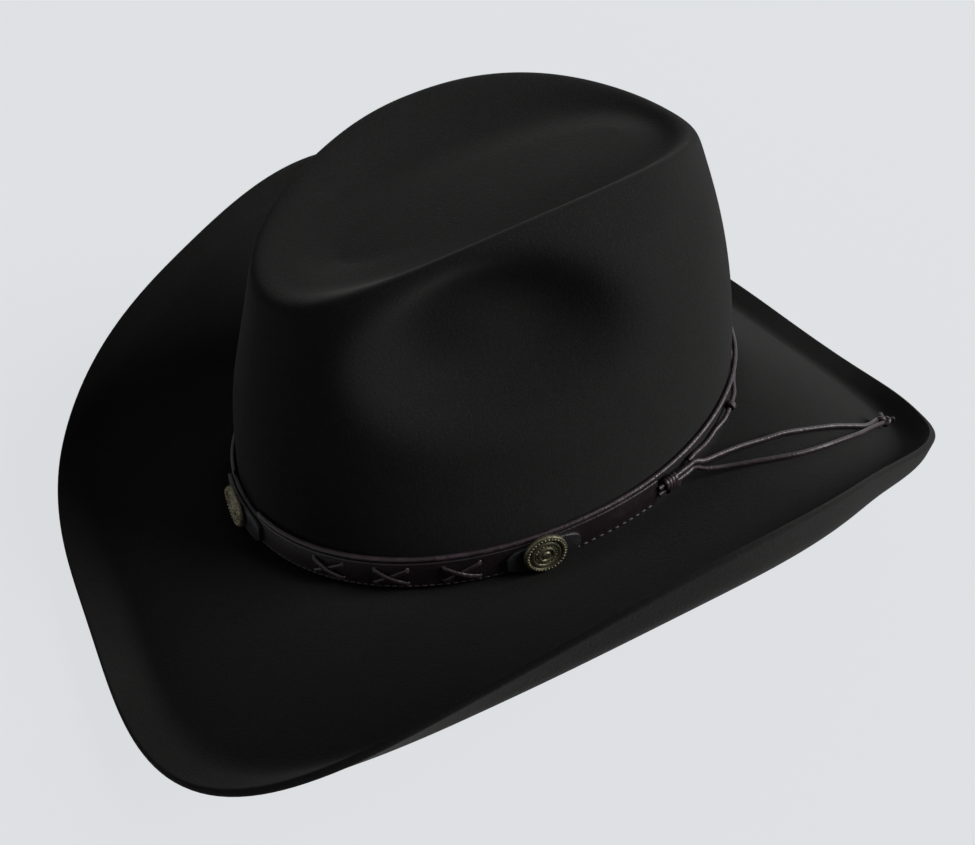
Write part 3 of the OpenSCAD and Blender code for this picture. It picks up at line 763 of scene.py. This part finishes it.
def material(key):
    """The named material, made once"""
    k = look()
    makers = {
        "felt": felt_material,
        "strap": lambda: leather_material("strap_leather", k.strap, 0.40, 1100, 0.35),
        "pad": lambda: leather_material("pad_leather", (0.026, 0.026, 0.029), 0.42, 1000, 0.5),
        "lace": lambda: leather_material("lace_leather", k.lace, 0.38, 1400, 0.7, 0.9),
        "thread": lambda: plain_material("waxed_thread", (0.12, 0.105, 0.105), 0.5, 3000),
        "sweat": lambda: leather_material("sweat_leather", k.sweat, 0.5, 800, 0.3),
        "reed": lambda: plain_material("reed_plastic", (0.03, 0.026, 0.026), 0.4, 500),
        "ribbon": ribbon_material,
        "brass": brass_material,
        "steel": lambda: plain_material("screw_steel", (0.42, 0.41, 0.39), 0.35, 1500, 1.0),
    }
    if key not in MATERIALS:
        MATERIALS[key] = makers[key]()
    return MATERIALS[key]


# ---------------------------------------------------------------- camera, floor and light

def sun(name, direction, energy, angle):
    """Broad lamp that shines from a direction"""
    data = bpy.data.lights.new(name, "SUN")
    data.energy = energy
    data.angle = angle
    o = bpy.data.objects.new(name, data)
    o.location = Vector(direction) * 3
    o.rotation_euler = Vector(direction).to_track_quat("Z", "Y").to_euler()
    bpy.context.collection.objects.link(o)


class HAT_OT_stage(bpy.types.Operator):
    """Camera, floor, backdrop and soft studio light"""
    bl_idname = "hat.stage"
    bl_label = "Stage"

    def execute(self, context):
        cam = bpy.data.cameras.new("camera")
        eye = bpy.data.objects.new("camera", cam)
        context.collection.objects.link(eye)
        context.scene.camera = eye
        # about 39 degrees above the floor, over the wearer's left side and a little to the front
        cam.sensor_width = 36
        cam.lens = 36.92
        cam.clip_start = 0.01
        spot = Vector((0.2812, -0.1700, 0.3008))
        ahead = Vector((-0.67549, 0.37383, -0.63558)).normalized()
        right = Vector((0.49385, 0.86944, -0.01347))
        up = right.cross(ahead).normalized()
        right = ahead.cross(up)
        eye.matrix_world = Matrix((
            (right.x, up.x, -ahead.x, spot.x), (right.y, up.y, -ahead.y, spot.y),
            (right.z, up.z, -ahead.z, spot.z), (0, 0, 0, 1)))

        clear_selection()
        bpy.ops.mesh.primitive_plane_add(size=8, location=(0, 0, 0))
        floor = context.object
        floor.name = "floor"
        whole(floor, lambda: bpy.ops.mesh.subdivide(number_cuts=4))
        p = Paint("floor")
        c = tuple(look().floor)
        tone = p.mix(p.noise(1.2, 2, 0.5), shade_of(c, 0.97), shade_of(c, 1.04))
        floor.data.materials.append(p.finish(base_color=tone, roughness=0.5, specular_ior_level=0.2))
        p.seen_as(tuple(look().backdrop), 0.84)

        # a dim sky lights the hat, and a pale one is seen by the camera and, in part, in reflections
        world = bpy.data.worlds.new("studio")
        context.scene.world = world
        world.use_nodes = True
        air = Nodes(world.node_tree)
        sky = air.tree.nodes["Background"]
        sky.inputs["Color"].default_value = (0.95, 0.97, 1.0, 1)
        sky.inputs["Strength"].default_value = 0.045
        pale = air.node("ShaderNodeBackground", {}, {"Color": (*look().backdrop, 1)})
        camera_ray = air.node("ShaderNodeLightPath")
        seen = camera_ray
        for ray, share in (("Is Transmission Ray", 1.0), ("Is Glossy Ray", 0.35)):
            seen = seen.most(camera_ray.beside(ray) * share)
        both = air.node("ShaderNodeMixShader", {}, {0: seen, 1: Sock(air, sky.outputs[0]), 2: pale})
        air.tree.links.new(both.value, air.tree.nodes["World Output"].inputs[0])

        sun("window_right", (0.50, 0.71, 0.50), 2.8, 0.6)
        sun("window_left", (-0.43, 0.75, 0.46), 0.3, 0.75)
        context.scene.view_settings.view_transform = "Standard"
        return {"FINISHED"}


# ---------------------------------------------------------------- loose tails

# The tails' routes on the brim, in millimetres from the middle of the head opening
UPPER_ROUTE = [
    (77, 48.9, 9.7), (76, 58.4, 8.4), (76, 67.9, 7.9), (77, 77.9, 7.5), (78, 87.9, 7.3),
    (80, 99.9, 5.7), (82, 110.9, 3.9), (83.5, 120.9, 0.9), (84, 128.9, -1.9)]
LOWER_ROUTE = [
    (78.5, 48.9, 6.9), (81, 56.4, 6.5), (84.5, 64.9, 7.4), (88, 73.9, 8.2), (91, 83.9, 8.5),
    (92, 95.9, 7.7), (91, 107.9, 5.3), (89, 118.9, 1.9), (86.5, 127.4, -1.2)]
# Middle of the knot that ties them, from the same place
END_KNOT = np.array((81.5, 141.4, -6.1))
# The knot's size, against a trefoil of 3 mm, and how far from its middle a tail goes in
KNOT_SIZE, KNOT_REACH = 0.8, 2.58
# Where a lead ends and a tail starts, from the lead's middle
LEAD_HALF = 8.45


def lead_way():
    """Direction of the two straight leads, which run level along the crown behind the strap's left end"""
    height, out = 7.8, 2.85
    return unit(wall(107, height, out) - wall(103, height, out))


class HAT_OT_tails(bpy.types.Operator):
    """The two loose lace tails on the brim and the knot that ties them"""
    bl_idname = "hat.tails"
    bl_label = "Tails"

    def execute(self, context):
        d = band().lace_d
        hat = hat_place()
        tied = END_KNOT + hat
        far = unit(np.array(UPPER_ROUTE[-1]) + np.array(LOWER_ROUTE[-1]) - 2 * END_KNOT)
        beside = unit(np.cross(far, (0, 0, 1)))
        # overhand knot: a small trefoil of lace with two curled tips
        k = np.linspace(0, 2 * math.pi, 73)[:-1]
        trefoil = np.stack([np.sin(k) + 2 * np.sin(2 * k), np.cos(k) - 2 * np.cos(2 * k),
                            -1.25 * np.sin(3 * k)], 1)
        turns = tied + trefoil * KNOT_SIZE @ np.stack([far, beside, np.cross(far, beside)])
        knot = strand("end_knot_turns", turns, d * 1.15, closed=True, up=(0.2, 0.3, 1))
        wear(knot, "hat_band", material("lace"), ["end_knot"])
        for letter, s, lift in (("a", -1, 1.0), ("b", 1, 0.2)):
            away = -far + s * 0.55 * beside
            path = [tied + away * 1.2, tied + away * 3.0 + [0, 0, 0.3],
                    tied + away * 4.3 + beside * s * 1.1 + [0, 0, 0.5 + lift]]
            tip = strand(f"end_knot_tip_{letter}", resample(path, 0.5), d * 1.1, d * 0.8)
            wear(tip, "hat_band", material("lace"))
        along = lead_way()
        for name, lead, route, s in (("upper_tail", "upper_lead", UPPER_ROUTE, 1),
                                     ("lower_tail", "lower_lead", LOWER_ROUTE, -1)):
            start = node_middle(lead) + along * LEAD_HALF
            end = tied + far * KNOT_REACH + s * (d / 2 + 0.3) * beside
            path = resample([start, start + along * 3] + [hat + p for p in route] + [end], 2.0)
            tail = strand(name + "_lace", path, d, sides=12, ends=False)
            wear(tail, "hat_band", material("lace"), [name])
            tuple(start * MM)
            [tuple(q * MM) for q in path]
        return {"FINISHED"}


# ---------------------------------------------------------------- felt

class HAT_OT_felt(bpy.types.Operator):
    """Crown and brim, blocked from one piece of felt"""
    bl_idname = "hat.felt"
    bl_label = "Felt"

    def execute(self, context):
        z = sizes()
        cols, rolled, bent, flat, crowned = 144, 8, 8, 20, 50
        a = np.linspace(0, 2 * math.pi, cols + 1)
        w, height, bend = around(list(z.brim_w), a), around(list(z.roll_h), a), z.roll_bend
        # shares of the width at which the brim begins to turn up, and is turned up
        turn, turned = (w - height - bend) / w, (w - height + bend) / w
        shares = [1 - (1 - turned) * k / rolled for k in range(rolled)]
        shares += [turned - (turned - turn) * k / bent for k in range(bent)]
        shares += [turn * (1 - (k / flat) ** 0.9) for k in range(flat)]
        rows = [brim(a, s) for s in shares] + [crown(a, v) for v in np.linspace(0, CREASE_ROW, crowned)]
        rows.append(rows[-1] * (0, 1, 1))
        pts = np.stack(rows, 1) + hat_place()
        # the hand of the blocker: slow, shallow waves in the sides of the brim
        x, y = pts[..., 0], pts[..., 1]
        pts[..., 2] += 0.25 * np.sin(x / 17 + 1.3) * np.sin(y / 21 + 0.4) * smooth((np.abs(x) - 60) / 40)
        felt = surface("felt_hat", pts, wrap_u=True)
        # the middle of the crown's top has to face up
        up = sum(p.normal.z for p in felt.data.polygons if abs(p.center.x) < 0.02 and abs(p.center.y) < 0.02)
        if up < 0:
            whole(felt, lambda: bpy.ops.mesh.flip_normals())
        finish_with(felt, "SOLIDIFY", thickness=z.felt_t * MM, offset=-1, use_even_offset=False, use_rim=True)
        finish_with(felt, "SUBSURF", levels=1, render_levels=1)
        shade(felt, 60)
        wear(felt, "hat", material("felt"), ["felt_body"])
        return {"FINISHED"}


# ---------------------------------------------------------------- sweatband

# Lower edge above the break, height and thickness of the sweatband, and its clearance in the felt
SWEATBAND = 2.6, 36.0, 1.2
SWEAT_GAP = 1.0


class HAT_OT_sweatband(bpy.types.Operator):
    """Leather sweatband with its reed, stitching and bow"""
    bl_idname = "hat.sweatband"
    bl_label = "Sweatband"

    def execute(self, context):
        at = hat_place()
        inner = sizes().felt_t + SWEAT_GAP
        low, tall, t = SWEATBAND
        high = low + tall
        a = np.linspace(0, 360, 181)
        # its section, from the felt's side up, over the top edge and down the head's side
        section = [(0, low), *((0.02 * math.sin(k), low + tall * k / 8) for k in range(1, 8)), (0, high),
                   (t * 0.5, high + 0.3), (t, high), *((t, low + tall * k / 8) for k in range(7, 0, -1)),
                   (t, low), (t * 0.5, low - 0.2), (0, low)]
        section = np.array(section)
        ring = wall(a[:, None], section[:, 1], -inner - section[:, 0]) + at
        leather = surface("sweatband_leather", ring, wrap_u=True, wrap_v=True)
        shade(leather, 50)
        wear(leather, "hat", material("sweat"), ["sweatband"])
        seam = wall(a[:-1], 1.3, -inner - 1.0) + at
        reed = strand("sweatband_reed_cord", seam, 2.0, side=(0, 0, 1), closed=True)
        wear(reed, "hat", material("reed"), ["sweatband_reed"])
        # stitching that holds the band at its reed
        stitches = studs("sweatband_stitches", [
            (wall(ang, 4.6, -inner - t - 0.05) + at, wall_axes(ang, 5) * (1.15, 0.25, 0.25))
            for ang in np.arange(0, 360, 2.0)])
        wear(stitches, "hat", material("thread"))
        # ribbon bow at the back: two loops and the turn that holds them
        o = wall(180, 9.6, -inner - t - 1.9) + at
        ribbon_w, ribbon_t = 5.6, 0.35
        for s, letter in ((-1, "a"), (1, "b")):
            k = np.linspace(0, 1, 25)
            x = s * (0.8 + 10.0 * np.sin(math.pi * k) ** 0.8)
            swing = np.sin(2 * math.pi * k)
            loop = strand(f"sweatband_bow_loop_{letter}", o + np.stack([x, -0.35 * swing, 0.4 * swing], 1),
                          ribbon_w, ribbon_t, side=(0, 0, 1), ends=False)
            wear(loop, "hat", material("ribbon"), ["sweatband_bow"] if letter == "a" else ())
        k = np.linspace(0, 2 * math.pi, 25)[:-1]
        turn = o + np.stack([0 * k, 0.9 * np.cos(k), 1.7 * np.sin(k)], 1)
        middle = strand("sweatband_bow_knot", turn, 3.0, ribbon_t, side=(1, 0, 0), closed=True, sides=8)
        wear(middle, "hat", material("ribbon"))
        return {"FINISHED"}


# ---------------------------------------------------------------- strap, pads and stitching

# Clearance between the crown and the hat band
BAND_GAP = 0.3
# Degrees from one stitch on the strap to the next
STITCH_STEP = 1.6


def concho_spots():
    """Names and angles of the places where the band carries a concho"""
    angle = band().concho_angle
    return ("front", 0), ("left", angle), ("right", -angle)


def section_ring(inner, outer, low, high, round_by=0.5, n=4):
    """Rounded rectangle section as (distance out, height) pairs, closed"""
    out = []
    for cx, cy, start in ((outer, high, 0), (inner, high, 90), (inner, low, 180), (outer, low, 270)):
        for k in range(n + 1):
            t = (start + 90 * k / n) * D
            out.append((cx + (round_by if cx == inner else -round_by) + round_by * math.cos(t),
                        cy + (-round_by if cy == high else round_by) + round_by * math.sin(t)))
    return np.array(out + out[:1])


class HAT_OT_strap(bpy.types.Operator):
    """Leather strap of the hat band, with its concho pads and stitching"""
    bl_idname = "hat.strap"
    bl_label = "Strap"

    def execute(self, context):
        b = band()
        at = hat_place()
        tall, thick, low = b.strap
        face = BAND_GAP + thick
        a = np.linspace(-b.strap_end, b.strap_end, 241)
        sec = section_ring(BAND_GAP, face, low, low + tall, 0.55)
        ring = wall(a[:, None], sec[:, 1], sec[:, 0]) + at
        strap = surface("band_strap_leather", ring, wrap_v=True, cap=True)
        shade(strap, 45)
        wear(strap, "hat_band", material("strap"), ["band_strap"])

        # stitching along the lower edge, darker between the conchos
        end, concho = b.strap_end, b.concho_angle
        for name, key, start, stop in (("right", "thread", -end + 1.2, -concho - 4),
                                       ("front", "lace", 4 - concho, concho - 4),
                                       ("left", "thread", concho + 4, end - 1)):
            stitches = studs(f"{name}_stitches", [
                (wall(ang, low + 1.0, face) + at, wall_axes(ang, 5) * (1.1, 0.36, 0.32))
                for ang in np.arange(start, stop, STITCH_STEP)])
            wear(stitches, "hat_band", material(key))

        # pads under the conchos, longer and squarer at the front
        mid, half_tall = low + tall / 2, tall / 2 + 0.1
        for name, angle in concho_spots():
            longer, squareness = (6, 7) if name == "front" else (1, 3)
            half = (b.pad[0] / 2 + longer) / foot(angle)
            u = np.sin(np.linspace(-90, 90, 41) * D)
            reach = half_tall * (0.3 + 0.7 * np.maximum(0.0, 1 - np.abs(u) ** squareness) ** 0.6)
            inner = face + 0.08
            sec = np.stack([section_ring(inner, inner + b.pad[1], mid - q, mid + q) for q in reach])
            ring = wall((angle + half * u)[:, None], sec[..., 1], sec[..., 0]) + at
            pad = surface(f"{name}_pad_leather", ring, wrap_v=True, cap=True)
            shade(pad, 45)
            wear(pad, "hat_band", material("pad"), [f"{name}_pad"])
        return {"FINISHED"}


# ---------------------------------------------------------------- laces and knots

# Angle between the front pad's end and the first cross
FIRST_CROSS = 17.5
# Width and thickness of the crossed laces, and how far one lies over the other
CROSS_W, CROSS_T, CROSS_LIFT = 1.9, 1.05, 0.95
# Distance of the crossed laces from the strap's edges, to their middle
CROSS_EDGE = 1.2 + 0.9 + 0.2
# Angle of the small knot on the low back lace, and how far the lace comes out for it
STOP_KNOT, STOP_LIFT = 135, 1.2


def cross_laces(at):
    """Two laces on each side that cross over the strap, each dipping behind its edges between the crosses"""
    b = band()
    tall, thick, low = b.strap
    face = BAND_GAP + thick
    first = b.pad[0] / 2 / foot(0) + FIRST_CROSS
    last = b.concho_angle - b.pad[0] / 2 / foot(b.concho_angle) - 2
    pitch = (last - first) / b.cross_n
    half = min(pitch * 0.27, 6)
    hi, lo = low + tall - CROSS_EDGE, low + CROSS_EDGE
    for side_name, s in (("left", 1), ("right", -1)):
        for pair, letter in ((0, "a"), (1, "b")):
            pts, sides = [], []
            for i in range(b.cross_n):
                falls = (i + pair) % 2 == 0
                h0, h1 = (hi, lo) if falls else (lo, hi)
                mid = first + (i + 0.5) * pitch
                along = unit(wall(s * (mid + half), h1, face) - wall(s * (mid - half), h0, face))
                across = np.cross(facing(s * mid), along)
                lift = CROSS_LIFT if falls else 0.0
                # k runs from -1 to 1 over the strap's face, and on past it into the dips
                for k in np.linspace(-1.2, 1.2, 33):
                    q = min(max(k, -1), 1)
                    dip = smooth((abs(k) - 0.86) / 0.22)
                    out = face + 0.5 + lift * math.cos(q * math.pi / 2) ** 1.2
                    out = out * (1 - dip) + 0.75 * dip
                    h = (h0 + h1) / 2 + (h1 - h0) / 2 * q
                    pts.append(wall(s * (mid + half * k), h, out))
                    sides.append(across * (1 - dip) + np.array([0, 0, 1.0]) * dip * np.sign(across[2] or 1))
            lace = strand(f"{side_name}_cross_lace_{letter}", np.array(pts) + at, CROSS_W, CROSS_T,
                          side=np.array(sides))
            wear(lace, "hat_band", material("lace"), [f"{side_name}_lace_{letter}"])


def edge_laces(at):
    """Lace along the strap's top edge and on round the back, the lower lace round the back, and its knot"""
    b = band()
    tall, _, low = b.strap
    d = b.lace_d
    on_felt = BAND_GAP + d / 2
    start = b.pad[0] / 2 / foot(0) + 1
    a = np.linspace(start, 360 - start, 361)
    rise = 3 * smooth((90 - np.abs(a - 180)) / 50)
    height = low + tall + 0.08 + d / 2 + rise
    lace = strand("top_edge_lace", wall(a, height, on_felt) + at, d, side=(0, 0, 1), sides=12)
    wear(lace, "hat_band", material("lace"), ["top_lace"])

    # the lower lace leaves the sliding knot's leads, drops to its own height and passes behind the small knot
    reach = b.strap_end + 17 / foot(b.strap_end) + 0.8
    a = np.linspace(reach, 360 - b.strap_end - 0.3, 181)
    high, level = 9.4, 7
    h = high + (level - high) * smooth((a - reach) / 9)
    out = on_felt + 0.5 * (1 - smooth((a - reach) / 4)) + STOP_LIFT * smooth((10 - np.abs(a - STOP_KNOT)) / 6)
    lace = strand("low_edge_lace", wall(a, h, out) + at, d, side=(0, 0, 1), sides=12)
    wear(lace, "hat_band", material("lace"), ["low_back_lace"])
    n = facing(STOP_KNOT)
    along = np.array([-n[1], n[0], 0])
    turns, radius, pitch = 2, 1.72, 1.2
    k = np.linspace(0, turns * 2 * math.pi, 65)
    coil = (wall(STOP_KNOT, level, on_felt + STOP_LIFT) + at + np.outer(np.cos(k), n) * radius
            + np.outer(np.sin(k), (0, 0, 1)) * radius + np.outer((k / k[-1] - 0.5) * turns * pitch, along))
    knot = strand("stop_knot_turns", coil, 1.7, 1.1, side=along)
    wear(knot, "hat_band", material("lace"), ["stop_knot"])


def sliding_knot():
    """Two leads and the wrapped knot that slides on them"""
    along = lead_way()
    for name in ("upper_lead", "lower_lead"):
        path = node_middle(name) + np.outer(np.linspace(-8.38, 8.5, 19), along)
        piece = strand(name + "_lace", path, band().lace_d, sides=12, ends=False)
        wear(piece, "hat_band", material("lace"), [name])
    # outwards and upwards, square to the leads
    outd = unit(np.cross(along, (0, 0, 1)))
    outd = outd if outd[0] > 0 else -outd
    upd = unit(np.cross(along, outd))
    upd = upd if upd[2] > 0 else -upd
    # each turn passes round both leads, which lie twice the gap apart
    turns, radius, gap, length = 4, 1.66, 1.6, 6.0
    k = np.linspace(0, 2 * math.pi * turns, 24 * turns + 1)
    coil = (node_middle("slide_knot") + np.outer(radius * np.cos(k), outd)
            + np.outer(radius * np.sin(k) + gap * np.tanh(2.4 * np.sin(k)), upd)
            + np.outer((k / k[-1] - 0.5) * length, along))
    knot = strand("slide_knot_turns", coil, 1.85, 1.08, side=along)
    wear(knot, "slide_knot", material("lace"), ["slide_knot"])


class HAT_OT_laces(bpy.types.Operator):
    """Crossed laces, edge lace, back laces and the two knots on them"""
    bl_idname = "hat.laces"
    bl_label = "Laces"

    def execute(self, context):
        at = hat_place()
        cross_laces(at)
        edge_laces(at)
        sliding_knot()
        return {"FINISHED"}


# ---------------------------------------------------------------- conchos

class HAT_OT_conchos(bpy.types.Operator):
    """Three aged brass conchos with beaded rims, and the screws behind them"""
    bl_idname = "hat.conchos"
    bl_label = "Conchos"

    def execute(self, context):
        b = band()
        r, t = b.concho[0] / 2, b.concho[1]
        # half section from the middle of the back round the rim to the middle of the face: distance in from
        # the rim, and share of the thickness
        steps = ((0.9, 0), (0.2, 0.25 / t), (0, 0.7 / t), (0, 0.55), (0.25, 0.72), (0.7, 0.80), (1.5, 0.78),
                 (1.75, 0.56), (2.4, 0.54), (2.65, 0.78), (3.05, 0.84), (3.45, 0.78), (3.7, 0.60),
                 (4.6, 0.62), (4.85, 0.86), (5.2, 0.92), (5.6, 0.86), (5.85, 0.70), (6.5, 0.74), (6.9, 0.95),
                 (7.5, 1))
        profile = [(0, 0), *((r - within, t * share) for within, share in steps), (0, t)]
        # two rings of beads: their number, distance in from the rim, half size and height share
        rings = (34, 1.1, 0.5, 0.80), (20, 4.15, 0.36, 0.66)
        for name, angle in concho_spots():
            m = wall_axes(angle, r + 0.8)
            back = wall(angle, r + 0.8) + hat_place() + m[:, 2] * (BAND_GAP + b.strap[1] + b.pad[1] + 0.16)

            mesh = bpy.data.meshes.new(f"{name}_concho_disc")
            mesh.from_pydata([(x * MM, 0, y * MM) for x, y in profile],
                             [(i, i + 1) for i in range(len(profile) - 1)], [])
            disc = bpy.data.objects.new(f"{name}_concho_disc", mesh)
            context.collection.objects.link(disc)
            whole(disc, spin_round, select_whole, merge, outward)
            disc.data.transform(Matrix([[*m[i], back[i] * MM] for i in range(3)] + [[0, 0, 0, 1]]))
            shade(disc, 35)
            wear(disc, "hat_band", material("brass"), [f"{name}_concho"])

            spots = []
            for count, within, size, up in rings:
                for q in np.arange(count) * 2 * math.pi / count:
                    spot = (math.cos(q) * (r - within), math.sin(q) * (r - within), t * up)
                    spots.append((back + m @ spot, m * size))
            beads = studs(f"{name}_concho_beads", spots, 10, 6)
            wear(beads, "hat_band", material("brass"))
        for name, _ in concho_spots():
            screw = frame["nodes"][f"{name}_screw"]
            screw.data.materials.clear()
            screw.data.materials.append(material("steel"))
        return {"FINISHED"}


class HAT_PT_panel(bpy.types.Panel):
    """Lists the operators that make the hat, and its sizes and colours"""
    bl_label = "Western Felt Hat"
    bl_idname = "HAT_PT_panel"
    bl_space_type = "VIEW_3D"
    bl_region_type = "UI"
    bl_category = "Hat"

    def draw(self, context):
        for c in OPERATORS:
            self.layout.operator(c.bl_idname)
        for group in (context.scene.hat_sizes, context.scene.band_sizes, context.scene.hat_look):
            box = self.layout.box()
            for k in group.bl_rna.properties.keys():
                if k not in ("rna_type", "name"):
                    box.prop(group, k)


GROUPS = (HatSizes, BandSizes, HatLook)
# The camera and the tails come first, and each operator is run in this order
OPERATORS = (HAT_OT_stage, HAT_OT_tails, HAT_OT_felt, HAT_OT_sweatband, HAT_OT_strap, HAT_OT_laces,
             HAT_OT_conchos)


def register():
    for c in (*GROUPS, *OPERATORS, HAT_PT_panel):
        bpy.utils.register_class(c)
    bpy.types.Scene.hat_sizes = bpy.props.PointerProperty(type=HatSizes)
    bpy.types.Scene.band_sizes = bpy.props.PointerProperty(type=BandSizes)
    bpy.types.Scene.hat_look = bpy.props.PointerProperty(type=HatLook)


def unregister():
    del bpy.types.Scene.hat_sizes, bpy.types.Scene.band_sizes, bpy.types.Scene.hat_look
    for c in reversed((*GROUPS, *OPERATORS, HAT_PT_panel)):
        bpy.utils.unregister_class(c)


def main():
    """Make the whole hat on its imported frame"""
    register()
    for c in OPERATORS:
        group, name = c.bl_idname.split(".")
        getattr(getattr(bpy.ops, group), name)()


if __name__ == "__main__":
    main()
